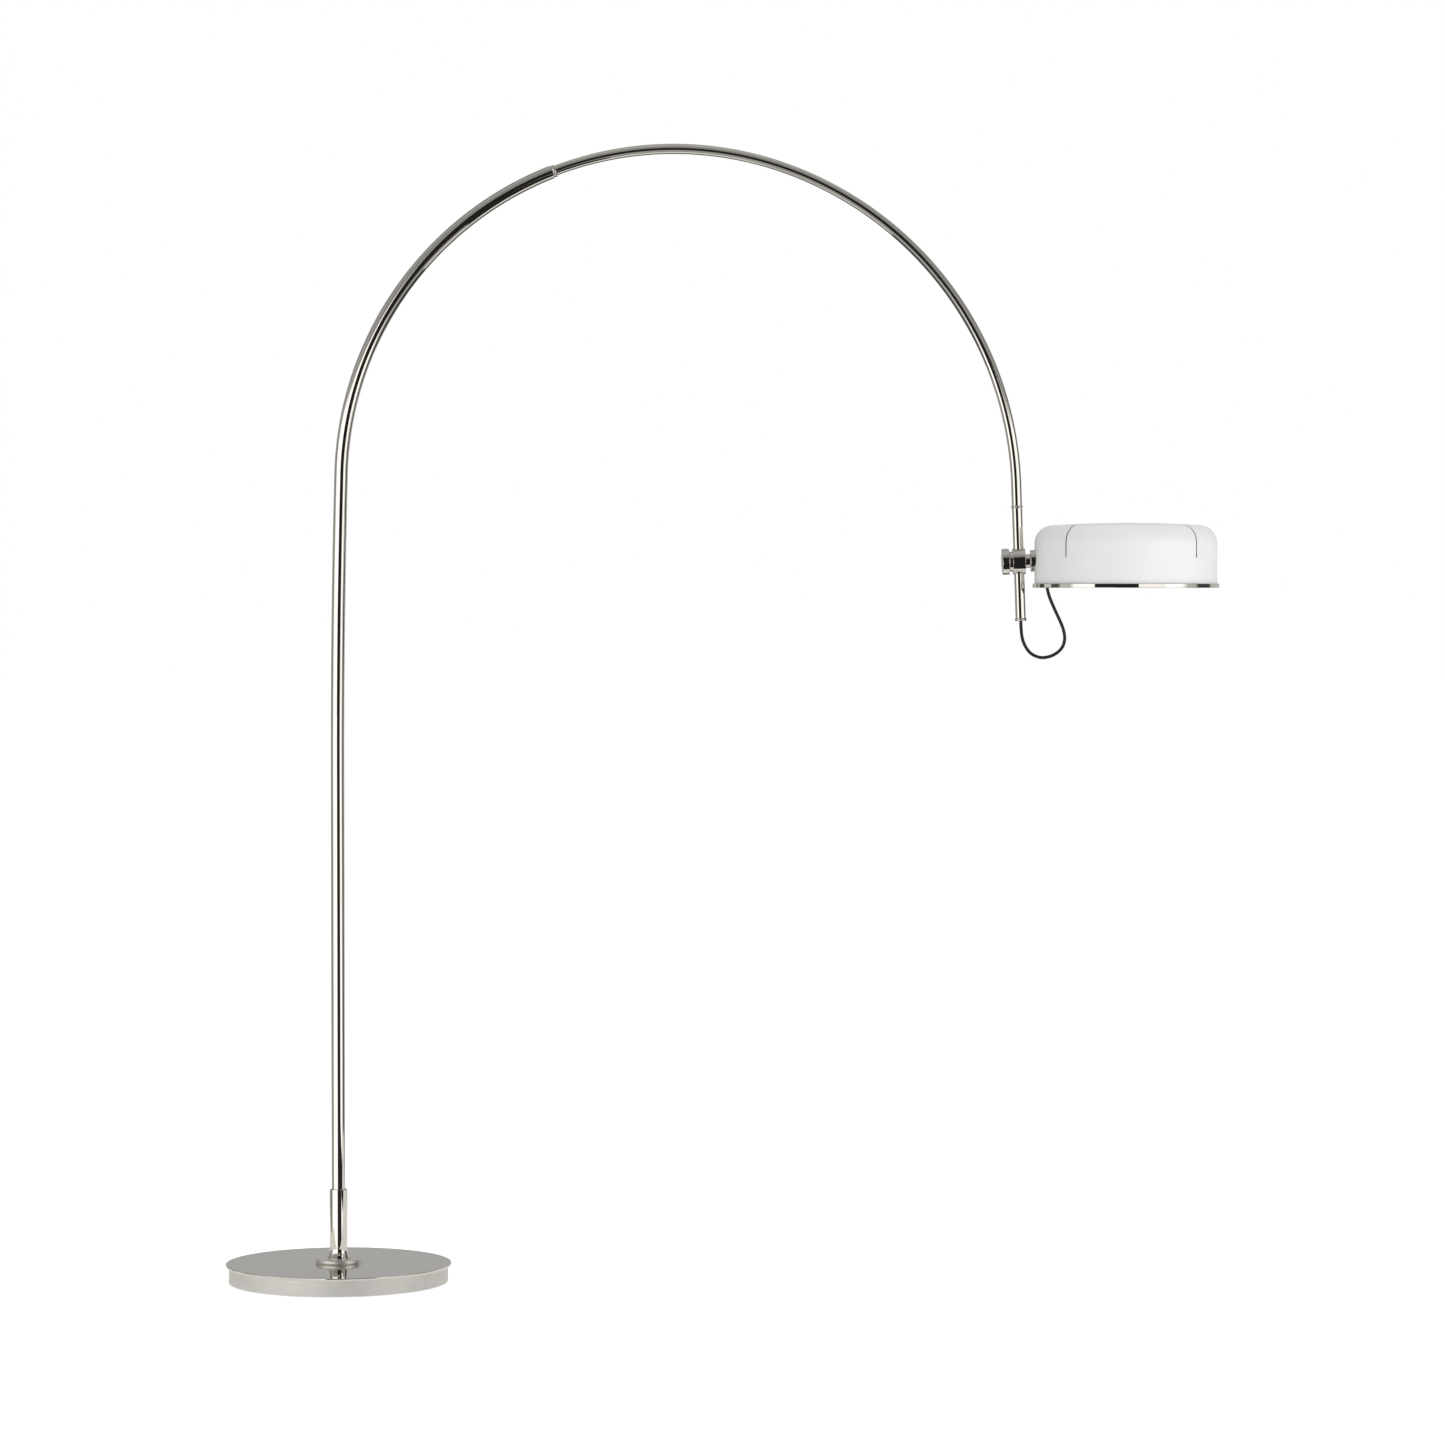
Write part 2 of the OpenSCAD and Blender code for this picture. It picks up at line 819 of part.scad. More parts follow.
module lampholder() {
    color(black)
        on_head()
            difference() {
                turned_x() translate([0, holder_x]) polygon([[0, 0], [11, 0], [19, 10], [19, holder_l - 3],
                    [20, holder_l - 2], [20, holder_l], [0, holder_l]]);
                tube_x(5, 0, holder_x - eps, holder_x + 6);
                tube_x(3, 0, holder_x, holder_x + 13);
                tube_x(14.5, 0, holder_x + 12, holder_x + holder_l + eps);
            }
}

module screw_shell() {
    color("goldenrod")
        on_head()
            difference() {
                tube_x(14.5, 0, holder_x + 13, bulb_x);
                tube_x(13.6, 0, holder_x + 14, bulb_x + eps);
                tube_x(5, 0, holder_x, bulb_x);
            }
}

module bulb_cap() {
    color("silver")
        on_head() {
            tube_x(4, 0, holder_x + 15.5, holder_x + 18);
            tube_x(13.5, 0, holder_x + 18, bulb_x);
        }
}

// Pear form: a cone from the cap that runs into a ball
module bulb_form(t) {
    mouth_r = 13 - t;
    lean_in = 25;
    ball_r = bulb_r - t;
    meet_x = bulb_mid - ball_r * sin(lean_in);
    translate([bulb_mid, 0, 0]) sphere(r = ball_r);
    rotate([0, 90, 0]) translate([0, 0, bulb_x])
        cylinder(r1 = mouth_r, r2 = ball_r * cos(lean_in), h = meet_x - bulb_x);
}

module bulb_glass() {
    color([1, 0.97, 0.9, 0.8])
        on_head()
            difference() {
                bulb_form(0);
                bulb_form(1);
            }
}

module lamp_leads() {
    color([0.85, 0.85, 0.85])
        on_head()
            for (y = [-1.3, 1.3]) translate([0, y, 0]) tube_x(1.1, 0, clamp_x1 + 0.3, holder_x + 8);
}

floor_pad();
base_weight();
base_skirt();
base_plate();
base_screws();
foot_flange();
foot_sleeve();
foot_washer();
foot_nut();
sleeve_bushes();
thrust_washer();
stop_screw();
cable_gland();
base_cable();
lower_tube();
foot_plug();
arm_collar();
guide_bush();
mast_cable();
upper_tube();
slide_bush();
upper_stop_ring();
ring_screw();
end_ring();
arm_cable();
cord_bush();
head_cord();
slider_body();
clamp_bushing();
pivot_shaft();
friction_washer();
pivot_washer();
disc_spring();
pivot_nut();
cord_clamp();
cord_clamp_screw();
clamp_pad();
clamp_knob();
clamp_stud();
shade_boss();
shade_shell();
shade_ring();
inner_saddle();
lamp_bracket();
bracket_screws();
nipple();
nipple_nut();
lampholder();
screw_shell();
bulb_cap();
bulb_glass();
lamp_leads();
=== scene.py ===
import json
import math
import bmesh
import bpy
from mathutils import Matrix, Vector


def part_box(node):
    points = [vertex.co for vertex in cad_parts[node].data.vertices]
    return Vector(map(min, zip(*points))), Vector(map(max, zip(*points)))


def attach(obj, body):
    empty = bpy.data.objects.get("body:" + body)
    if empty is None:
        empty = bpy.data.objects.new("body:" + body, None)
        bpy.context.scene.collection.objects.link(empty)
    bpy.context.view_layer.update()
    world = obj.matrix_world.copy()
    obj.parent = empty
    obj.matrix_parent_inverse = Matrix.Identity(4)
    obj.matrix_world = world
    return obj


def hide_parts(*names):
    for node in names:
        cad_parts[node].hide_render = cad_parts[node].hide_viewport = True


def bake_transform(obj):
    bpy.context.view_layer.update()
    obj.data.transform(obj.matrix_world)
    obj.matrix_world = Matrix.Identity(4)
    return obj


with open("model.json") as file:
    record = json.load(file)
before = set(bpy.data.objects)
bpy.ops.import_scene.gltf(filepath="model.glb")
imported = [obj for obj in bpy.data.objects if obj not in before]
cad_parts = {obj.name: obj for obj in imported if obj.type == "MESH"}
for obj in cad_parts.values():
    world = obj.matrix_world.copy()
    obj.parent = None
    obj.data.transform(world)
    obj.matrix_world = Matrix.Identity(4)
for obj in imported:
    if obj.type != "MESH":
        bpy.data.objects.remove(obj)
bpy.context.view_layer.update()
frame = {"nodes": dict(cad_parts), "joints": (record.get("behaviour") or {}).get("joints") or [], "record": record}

MM = 0.001
JOINTS = {j["name"]: j for j in frame["joints"]}
SLOTS = {s["node"]: s["material_slot"] for s in frame["record"]["subparts"]}
BODIES = {n: b for b, nodes in frame["record"]["behaviour"]["bodies"].items() for n in nodes}


# ---------- camera ----------

def make_camera():
    lens, tilt_down = 119.6, 1.605
    data = bpy.data.cameras.new("camera")
    data.lens = lens
    data.sensor_width = 36.0
    data.clip_end = 200.0
    camera = bpy.data.objects.new("camera", data)
    bpy.context.collection.objects.link(camera)
    camera.location = (0.7125, -8.88, 1.2867)
    camera.rotation_euler = (math.radians(90.0 - tilt_down), 0.0, 0.0)
    bpy.context.scene.camera = camera


# ---------- meshes ----------

def link(name, mesh):
    piece = bpy.data.objects.new(name, mesh)
    bpy.context.collection.objects.link(piece)
    return piece


def solid(name, points, faces, where=Matrix.Identity(4), sharp=38.0):
    """A mesh piece in the lamp's frame, smooth but for edges that turn by more than sharp degrees."""
    bm = bmesh.new()
    verts = [bm.verts.new(where @ Vector(p)) for p in points]
    for face in faces:
        bm.faces.new([verts[i] for i in face])
    return finished(name, bm, sharp)


def finished(name, bm, sharp=38.0):
    bmesh.ops.remove_doubles(bm, verts=bm.verts, dist=1e-6)
    bmesh.ops.recalc_face_normals(bm, faces=bm.faces)
    for face in bm.faces:
        face.smooth = True
    for edge in bm.edges:
        edge.smooth = len(edge.link_faces) == 2 and edge.calc_face_angle() < math.radians(sharp)
    mesh = bpy.data.meshes.new(name)
    bm.to_mesh(mesh)
    bm.free()
    piece = link(name, mesh)
    weighted = piece.modifiers.new("weighted", "WEIGHTED_NORMAL")
    weighted.keep_sharp = True
    weighted.weight = 60
    return piece


def rounded(outline, radius, steps=4):
    """A closed outline with its corners rounded. A corner is (x, y), or (x, y, its own radius)."""
    points = []
    for i, corner in enumerate(outline):
        here = Vector(corner[:2])
        back = Vector(outline[i - 1][:2]) - here
        ahead = Vector(outline[(i + 1) % len(outline)][:2]) - here
        r = corner[2] if len(corner) > 2 else radius
        half = back.angle(ahead) / 2
        if r <= 0 or half > math.radians(88):
            points.append(here)
            continue
        cut = min(r / math.tan(half), 0.48 * back.length, 0.48 * ahead.length)
        a, b = here + cut * back.normalized(), here + cut * ahead.normalized()
        for k in range(steps + 1):
            t = k / steps
            points.append((1 - t) * (1 - t) * a + 2 * t * (1 - t) * here + t * t * b)
    return points


def arc(cx, cy, r, a0, a1, steps):
    """Points on an arc, from angle a0 to a1 in degrees."""
    turns = [math.radians(a0 + (a1 - a0) * k / steps) for k in range(steps + 1)]
    return [(cx + r * math.cos(a), cy + r * math.sin(a), 0) for a in turns]


def turned(name, outline, where, segments=128, sharp=38.0):
    """A solid of revolution about the local Z, from a closed outline of (radius, z)."""
    n = len(outline)
    points, faces = [], []
    for k in range(segments):
        a = 2 * math.pi * k / segments
        points += [(p[0] * math.cos(a), p[0] * math.sin(a), p[1]) for p in outline]
        for i in range(n):
            j, m = (i + 1) % n, (k + 1) % segments
            if outline[i][0] < 1e-7 and outline[j][0] < 1e-7:
                continue
            faces.append((k * n + i, m * n + i, m * n + j, k * n + j))
    bm = bmesh.new()
    verts = [bm.verts.new(where @ Vector(p)) for p in points]
    for face in faces:
        corners = []
        for i in face:
            if all((verts[i].co - c.co).length > 1e-7 for c in corners):
                corners.append(verts[i])
        if len(corners) > 2:
            bm.faces.new(corners)
    return finished(name, bm, sharp)


def prism(name, outline, z0, z1, where, ease, hole=None):
    """An outline in the local XY plane, drawn out along Z. A hole has as many points as the outline."""
    n = len(outline)
    points = [(p[0], p[1], z) for z in (z0, z1) for p in outline]
    faces = [(i, (i + 1) % n, n + (i + 1) % n, n + i) for i in range(n)]
    if hole is None:
        faces += [tuple(range(n)), tuple(range(n, 2 * n))]
    else:
        points += [(p[0], p[1], z) for z in (z0, z1) for p in hole]
        for i in range(n):
            j = (i + 1) % n
            faces += [(2 * n + i, 2 * n + j, 3 * n + j, 3 * n + i), (i, j, 2 * n + j, 2 * n + i),
                      (n + i, n + j, 3 * n + j, 3 * n + i)]
    piece = solid(name, points, faces, where)
    ease_edges(piece, ease)
    return piece


def bored(piece, cutter):
    """The piece again, with the cutter's shape taken out of it."""
    name = piece.name
    piece.modifiers.clear()
    cut = piece.modifiers.new("cut", "BOOLEAN")
    cut.operation, cut.solver, cut.object = "DIFFERENCE", "EXACT", cutter
    bpy.context.view_layer.update()
    bm = bmesh.new()
    bm.from_object(piece, bpy.context.evaluated_depsgraph_get())
    for old in (piece, cutter):
        bpy.data.objects.remove(old)
    return finished(name, bm)


def ease_edges(piece, width):
    """Bevels the sharp edges, before the normals are weighted."""
    bevel = piece.modifiers.new("bevel", "BEVEL")
    bevel.width = width
    bevel.segments = 2
    bevel.limit_method = "ANGLE"
    bevel.angle_limit = math.radians(50)
    bevel.use_clamp_overlap = True
    weighted = piece.modifiers.get("weighted")
    if weighted is not None:
        piece.modifiers.move(piece.modifiers.find("weighted"), len(piece.modifiers) - 1)


def eased(node, width):
    """A copy of a CAD node's shape with its facets joined and its edges eased."""
    bm = bmesh.new()
    bm.from_mesh(frame["nodes"][node].data)
    bmesh.ops.remove_doubles(bm, verts=bm.verts, dist=1e-6)
    bmesh.ops.dissolve_limit(bm, angle_limit=math.radians(0.6), verts=bm.verts, edges=bm.edges)
    piece = finished(node + "_finished", bm)
    ease_edges(piece, width)
    return piece


def swept(name, stations, ro, ri, sides=64):
    """A tube with a wall from radius ri to ro, along stations of (point, direction in the XZ plane)."""
    rings = [(ro, stations), (ri, stations[::-1])]
    points, faces = [], []
    for radius, run in rings:
        for p, d in run:
            across = Vector((d.z, 0.0, -d.x))
            for k in range(sides):
                a = 2 * math.pi * k / sides
                points.append(p + radius * (math.cos(a) * across + math.sin(a) * Vector((0.0, 1.0, 0.0))))
    rows = len(points) // sides
    for i in range(rows):
        for k in range(sides):
            m, j = (k + 1) % sides, (i + 1) % rows
            faces.append((i * sides + k, i * sides + m, j * sides + m, j * sides + k))
    return solid(name, points, faces)


def placed(piece, body, slot, material, *nodes):
    """The piece gets its material and rides on its body, and the CAD nodes it stands for are hidden."""
    piece.data.materials.append(material)
    if nodes:
        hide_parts(*nodes)
    if body is not None:
        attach(piece, body)
    return piece


def stands_for(piece, node):
    """The piece takes its body, and its slot's finish, from the one CAD node that it stands for."""
    return placed(piece, BODIES[node], SLOTS[node], FINISHES[SLOTS[node]], node)


# ---------- materials ----------

def node_in(tree, kind, **values):
    n = tree.nodes.new(kind)
    for key, value in values.items():
        if key in n.inputs:
            n.inputs[key].default_value = value
        else:
            setattr(n, key, value)
    return n


def noise(tree, scale, detail=3.0, stretch=(1.0, 1.0, 1.0)):
    """Noise that stays on the piece as it moves: scale is in cells per metre."""
    place = tree.nodes.new("ShaderNodeTexCoord")
    mapping = node_in(tree, "ShaderNodeMapping", Scale=stretch)
    tree.links.new(place.outputs["Object"], mapping.inputs["Vector"])
    texture = node_in(tree, "ShaderNodeTexNoise", Scale=scale, Detail=detail)
    tree.links.new(mapping.outputs["Vector"], texture.inputs["Vector"])
    return texture.outputs["Fac"]


def between(tree, factor, low, high):
    ranged = tree.nodes.new("ShaderNodeMapRange")
    ranged.inputs["From Min"].default_value = 0.3
    ranged.inputs["From Max"].default_value = 0.7
    ranged.inputs["To Min"].default_value = low
    ranged.inputs["To Max"].default_value = high
    tree.links.new(factor, ranged.inputs["Value"])
    return ranged.outputs["Result"]


def tinted(tree, factor, one, two):
    ramp = tree.nodes.new("ShaderNodeValToRGB")
    ramp.color_ramp.elements[0].position = 0.3
    ramp.color_ramp.elements[1].position = 0.7
    ramp.color_ramp.elements[0].color = (*one, 1.0)
    ramp.color_ramp.elements[1].color = (*two, 1.0)
    tree.links.new(factor, ramp.inputs["Fac"])
    return ramp.outputs["Color"]


def surface(name, one, two, patch, rough, grain, grain_depth, stretch=(1.0, 1.0, 1.0), detail=3.0,
            **constants):
    """A finish whose colour drifts from one to two over patches, with a grain in its gloss and relief."""
    m = bpy.data.materials.new(name)
    m.use_nodes = True
    tree = m.node_tree
    shader = tree.nodes["Principled BSDF"]
    for key, value in constants.items():
        shader.inputs[key.replace("_", " ")].default_value = value
    tree.links.new(tinted(tree, noise(tree, patch), one, two), shader.inputs["Base Color"])
    fine = noise(tree, grain, detail, stretch)
    tree.links.new(between(tree, fine, rough[0], rough[1]), shader.inputs["Roughness"])
    bump = node_in(tree, "ShaderNodeBump", Strength=0.5, Distance=grain_depth)
    tree.links.new(fine, bump.inputs["Height"])
    tree.links.new(bump.outputs["Normal"], shader.inputs["Normal"])
    return m


def make_finishes():
    """A finish for each of the record's slots, and two more: a dark grey for the shade's inside, which paints
    shade there, and a lighter nickel for the flange, which paints light on it.
    """
    made = {}
    made["polished_nickel"] = surface("polished_nickel", (0.70, 0.672, 0.61), (0.74, 0.712, 0.65), 9.0,
                                      (0.03, 0.06), 900.0, 0.000002, Metallic=1.0)
    made["satin_nickel"] = surface("satin_nickel", (0.72, 0.705, 0.665), (0.78, 0.765, 0.725), 30.0,
                                   (0.50, 0.62), 60.0, 0.00002, stretch=(1.0, 1.0, 30.0), Metallic=1.0)
    made["zinc_steel"] = surface("zinc_steel", (0.50, 0.51, 0.53), (0.62, 0.62, 0.62), 300.0,
                                 (0.22, 0.38), 1400.0, 0.00001, Metallic=1.0)
    made["cast_iron"] = surface("cast_iron", (0.018, 0.018, 0.019), (0.035, 0.034, 0.033), 60.0,
                                (0.45, 0.7), 420.0, 0.0003, detail=6.0)
    made["felt"] = surface("felt", (0.010, 0.010, 0.011), (0.030, 0.030, 0.031), 900.0,
                           (0.9, 1.0), 2600.0, 0.0006, detail=6.0, Sheen_Weight=0.5)
    made["nylon"] = surface("nylon", (0.72, 0.70, 0.62), (0.80, 0.78, 0.71), 60.0,
                            (0.35, 0.5), 1200.0, 0.00002, Subsurface_Weight=0.1)
    made["black_plastic"] = surface("black_plastic", (0.010, 0.010, 0.011), (0.020, 0.020, 0.021), 80.0,
                                    (0.38, 0.52), 2200.0, 0.00004)
    made["cord_jacket"] = surface("cord_jacket", (0.007, 0.007, 0.008), (0.016, 0.016, 0.017), 120.0,
                                  (0.42, 0.6), 3000.0, 0.00006, detail=5.0)
    made["white_paint"] = surface("white_paint", (0.79, 0.79, 0.785), (0.81, 0.81, 0.805), 14.0,
                                  (0.42, 0.52), 1500.0, 0.00003, detail=2.0)
    # Painted shade: the shade's inside is a dark grey, far darker than its white outside, so that the vent slots
    # read dark.
    made["painted_shade_inside"] = surface("painted_shade_inside", (0.25, 0.245, 0.235), (0.29, 0.285, 0.275), 12.0,
                                   (0.38, 0.5), 1100.0, 0.00001, Metallic=0.6)
    # Rougher than the polished nickel, and lighter in colour: the roughness is the flange's finish, the lighter
    # colour paints light onto it.
    made["lightened_soft_nickel"] = surface("lightened_soft_nickel", (0.86, 0.835, 0.775), (0.89, 0.865, 0.805), 9.0,
                                  (0.42, 0.48), 700.0, 0.000003, Metallic=1.0)
    made["brass"] = surface("brass", (0.62, 0.42, 0.16), (0.74, 0.54, 0.24), 200.0,
                            (0.2, 0.36), 1500.0, 0.00001, Metallic=1.0)
    made["phenolic"] = surface("phenolic", (0.012, 0.011, 0.011), (0.022, 0.020, 0.019), 70.0,
                               (0.16, 0.26), 900.0, 0.00001)
    made["opal_glass"] = surface("opal_glass", (0.90, 0.87, 0.80), (0.94, 0.91, 0.85), 40.0,
                                 (0.08, 0.14), 800.0, 0.000004, Emission_Strength=0.7,
                                 Emission_Color=(1.0, 0.62, 0.28, 1.0))
    made["wire_white"] = surface("wire_white", (0.66, 0.66, 0.64), (0.76, 0.76, 0.74), 200.0,
                                 (0.4, 0.5), 2500.0, 0.00002)
    return made


# ---------- places on the lamp ----------

ARCH_R, REACH_R, LEAN_R = 0.615, 0.642, 20.0
MAST_TOP = 0.940
LEAN, COLLAR, ARM_START, REACH, END = 1.6, 68.6, 34.0, 109.0, 178.0
END_TUBE = 0.251
MAST_RO, ARM_RO, WALL = 0.0125, 0.0095, 0.0015
ARCH_C = Vector(JOINTS["arm_extend"]["pos_m"])
TUBE_TOP = Vector(JOINTS["head_swivel"]["pos_m"])
UP = Vector(JOINTS["head_swivel"]["axis"]).normalized()
OUT = Vector(JOINTS["shade_tilt"]["axis"]).normalized()
HEAD = Vector(JOINTS["shade_tilt"]["pos_m"])


def axes_at(point, x, z):
    y = z.cross(x)
    return Matrix(((x.x, y.x, z.x, point.x), (x.y, y.y, z.y, point.y), (x.z, y.z, z.z, point.z),
                   (0, 0, 0, 1)))


def heading(h):
    a = math.radians(h)
    return Vector((math.sin(a), 0.0, math.cos(a)))


def on_arch(h):
    """The place on the arch's centre line at a heading, with Z along the tube."""
    a = math.radians(h)
    point = ARCH_C + ARCH_R * Vector((-math.cos(a), 0.0, math.sin(a)))
    return axes_at(point, Vector((math.cos(a), 0.0, -math.sin(a))), heading(h))


def on_tube(s):
    return axes_at(TUBE_TOP - s * UP, OUT, UP)


ON_HEAD = axes_at(HEAD, OUT, UP)
ALONG_HEAD = ON_HEAD @ Matrix.Rotation(math.radians(90), 4, "Y")
SHADE_LOW, SHADE_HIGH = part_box("shade_shell")
RING_LOW, RING_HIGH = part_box("shade_ring")
SHADE_AXIS = Matrix.Translation(((RING_LOW.x + RING_HIGH.x) / 2, 0.0, 0.0))
SHADE_R = (SHADE_HIGH.x - SHADE_LOW.x) / 2


def bend_stations(start, h0, radius, turn, step):
    """Stations along a bend that starts at a point with a heading and turns towards +X."""
    centre = start + radius * Vector((math.cos(math.radians(h0)), 0.0, -math.sin(math.radians(h0))))
    count = max(1, math.ceil(turn / step))
    run = []
    for k in range(1, count + 1):
        h = h0 + turn * k / count
        a = math.radians(h)
        run.append((centre + radius * Vector((-math.cos(a), 0.0, math.sin(a))), heading(h)))
    return run


# ---------- the head's cord ----------

CORD_D = 0.006
CORD_POINTS = [(1264, 1230), (1264.3, 1222), (1264.8, 1211), (1266, 1199), (1268.8, 1187.5),
               (1274, 1176.5), (1281.5, 1167), (1291, 1161), (1302, 1158), (1313.5, 1159),
               (1324.5, 1162.8), (1334.5, 1169.5), (1342, 1179), (1345.2, 1190.5), (1344.6, 1202.5),
               (1341.4, 1214.5), (1336.6, 1226), (1331.5, 1237), (1326.4, 1248), (1321.6, 1259),
               (1317.2, 1270), (1314, 1281), (1312.6, 1291), (1312.7, 1301), (1314.2, 1311),
               (1315.7, 1321), (1315.6, 1332)]


def smooth_line(points, steps=4):
    """A Catmull-Rom line through the points."""
    line = []
    for i in range(len(points) - 1):
        p0, p1, p2, p3 = (points[max(0, min(len(points) - 1, k))] for k in (i - 1, i, i + 1, i + 2))
        for k in range(steps):
            t = k / steps
            line.append(0.5 * (2 * p1 + t * (p2 - p0) + t * t * (2 * p0 - 5 * p1 + 4 * p2 - p3)
                               + t * t * t * (3 * p1 - 3 * p2 + p3 - p0)))
    return line + [points[-1]]


def make_cord():
    line = smooth_line([Vector((x * MM, 0.0, z * MM)) for x, z in CORD_POINTS])
    sides = 24
    points, faces = [], []
    for i, p in enumerate(line):
        d = (line[min(i + 1, len(line) - 1)] - line[max(i - 1, 0)]).normalized()
        across = Vector((d.z, 0.0, -d.x))
        for k in range(sides):
            a = 2 * math.pi * k / sides
            points.append(p + CORD_D / 2 * (math.cos(a) * across + math.sin(a) * Vector((0.0, 1.0, 0.0))))
    rows = len(line)
    for i in range(rows - 1):
        for k in range(sides):
            m = (k + 1) % sides
            faces.append((i * sides + k, i * sides + m, (i + 1) * sides + m, (i + 1) * sides + k))
    faces += [tuple(range(sides)), tuple(range((rows - 1) * sides, rows * sides))]
    piece = solid("head_cord_jacket", points, faces)
    piece.modifiers.clear()
    placed(piece, None, "cord_jacket", FINISHES["cord_jacket"], "head_cord")
    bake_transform(piece)


# ---------- base and foot ----------

UPRIGHT = Matrix.Identity(4)
SPIGOT_R = 12  # in millimetres


def mm(points):
    return [tuple(v * MM for v in p) for p in points]


def make_base():
    plate_low, plate_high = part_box("base_plate")
    r, z0, z1 = plate_high.x, plate_low.z, plate_high.z
    rim_r, skirt_t = 1.5 * MM, 1.5 * MM
    rim = [(SPIGOT_R * MM, z0, 0), (r, z0, rim_r), (r, z1, rim_r), (SPIGOT_R * MM, z1, 0)]
    stands_for(turned("base_plate_polished", rounded(rim, 0, 8), UPRIGHT, 256), "base_plate")
    skirt_low, skirt_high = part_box("base_skirt")
    ring = [(skirt_high.x - skirt_t, skirt_low.z), (skirt_high.x, skirt_low.z, 0.6 * MM),
            (skirt_high.x, skirt_high.z), (skirt_high.x - skirt_t, skirt_high.z)]
    stands_for(turned("base_skirt_brushed", rounded(ring, 0.2 * MM), UPRIGHT, 256), "base_skirt")


def make_foot():
    """The flange with its barrelled side, and the flared sleeve with its spigot, which ends at spigot_z."""
    low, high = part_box("foot_flange")
    barrel_r, lean = 11.0 * MM, 21.0
    middle = (low.z + high.z) / 2
    side = arc(high.x - barrel_r, middle, barrel_r, -lean, lean, 12)
    disc = [(SPIGOT_R * MM, low.z, 0), (side[0][0] - 0.2 * MM, low.z, 0), *side,
            (side[-1][0] - 0.6 * MM, high.z, 0.3 * MM), (SPIGOT_R * MM, high.z, 0)]
    piece = turned("foot_flange_polished", rounded(disc, 0, 4), UPRIGHT, 160)
    # The flange takes the lighter nickel, which paints light onto it.
    placed(piece, BODIES["foot_flange"], SLOTS["foot_flange"], FINISHES["lightened_soft_nickel"], "foot_flange")
    sleeve_r, flare_r, flare_h, bore = 16.5, 21.0, 19.0, 14.5
    spigot_z, spigot_bore, step = 13, 7, 4
    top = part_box("foot_sleeve")[1].z / MM
    floor = high.z / MM
    radius = ((flare_r - sleeve_r) ** 2 + flare_h ** 2) / (2 * (flare_r - sleeve_r))
    sweep = math.degrees(math.asin(flare_h / radius))
    flare = arc(sleeve_r + radius, floor + flare_h, radius, 180 + sweep, 180, 20)
    outline = [(SPIGOT_R, spigot_z, 0.5), (SPIGOT_R, floor, 0), (flare_r - 0.6, floor, 0), *flare[1:-1],
               (sleeve_r, floor + flare_h, 0), (sleeve_r, top, 0.7), (bore + 0.7, top, 0.4),
               (bore, top - 1.6, 0.2), (bore, floor + step, 0.3), (spigot_bore, floor + step, 0.3),
               (spigot_bore, spigot_z, 0.5)]
    stands_for(turned("foot_sleeve_polished", rounded(mm(outline), 0, 4), UPRIGHT, 96), "foot_sleeve")


# ---------- tubes ----------

def make_tubes():
    foot = Vector((0.0, 0.0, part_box("lower_tube")[0].z))
    top = Vector((0.0, 0.0, MAST_TOP))
    mast = [(foot + (top - foot) * k / 24, heading(0)) for k in range(25)]
    mast += bend_stations(top, 0.0, LEAN_R, LEAN, 0.2)
    mast += bend_stations(mast[-1][0], LEAN, ARCH_R, COLLAR - LEAN, 0.5)
    stands_for(swept("lower_tube_polished", mast, MAST_RO, MAST_RO - WALL), "lower_tube")
    start = on_arch(ARM_START)
    arm = [(start.translation, heading(ARM_START))]
    arm += bend_stations(arm[0][0], ARM_START, ARCH_R, REACH - ARM_START, 0.5)
    arm += bend_stations(arm[-1][0], REACH, REACH_R, END - REACH, 0.5)
    end = arm[-1][0]
    arm += [(end + heading(END) * END_TUBE * k / 12, heading(END)) for k in range(1, 13)]
    stands_for(swept("upper_tube_polished", arm, ARM_RO, ARM_RO - WALL), "upper_tube")


def bead(ro, z0, z1, bore):
    """Outline in millimetres of a ring with a half-round edge."""
    edge = (z1 - z0) / 2
    return [(bore, z0, 0.2), *arc(ro - edge, z0 + edge, edge, -90, 90, 12), (bore, z1, 0.2)]


def make_rings():
    neck = [(9.8, -2, 0), (10.6, -2, 0), (10.6, 1.5, 0.1)]
    collar = neck + arc(11.9 - 3, 4.5, 3, -90, 90, 12)[3:] + [(9.8, 7.5, 0.2)]
    stands_for(turned("arm_collar_polished", rounded(mm(collar), 0, 3), on_arch(COLLAR), 96), "arm_collar")
    stop = turned("upper_stop_ring_polished", rounded(mm(bead(11, -3, 3, 9.45)), 0, 3), on_tube(0.042), 96)
    stands_for(stop, "upper_stop_ring")
    lip = [(7.2, -3, 0.4), *arc(8, 0, 3, -90, 90, 12), (9.45, 3, 0.1), (9.45, -1.2, 0), (7.2, -1.2, 0)]
    ring = turned("end_ring_polished", rounded(mm(lip), 0, 3), on_tube(END_TUBE - 1.25 * MM), 96)
    stands_for(ring, "end_ring")


# ---------- head ----------

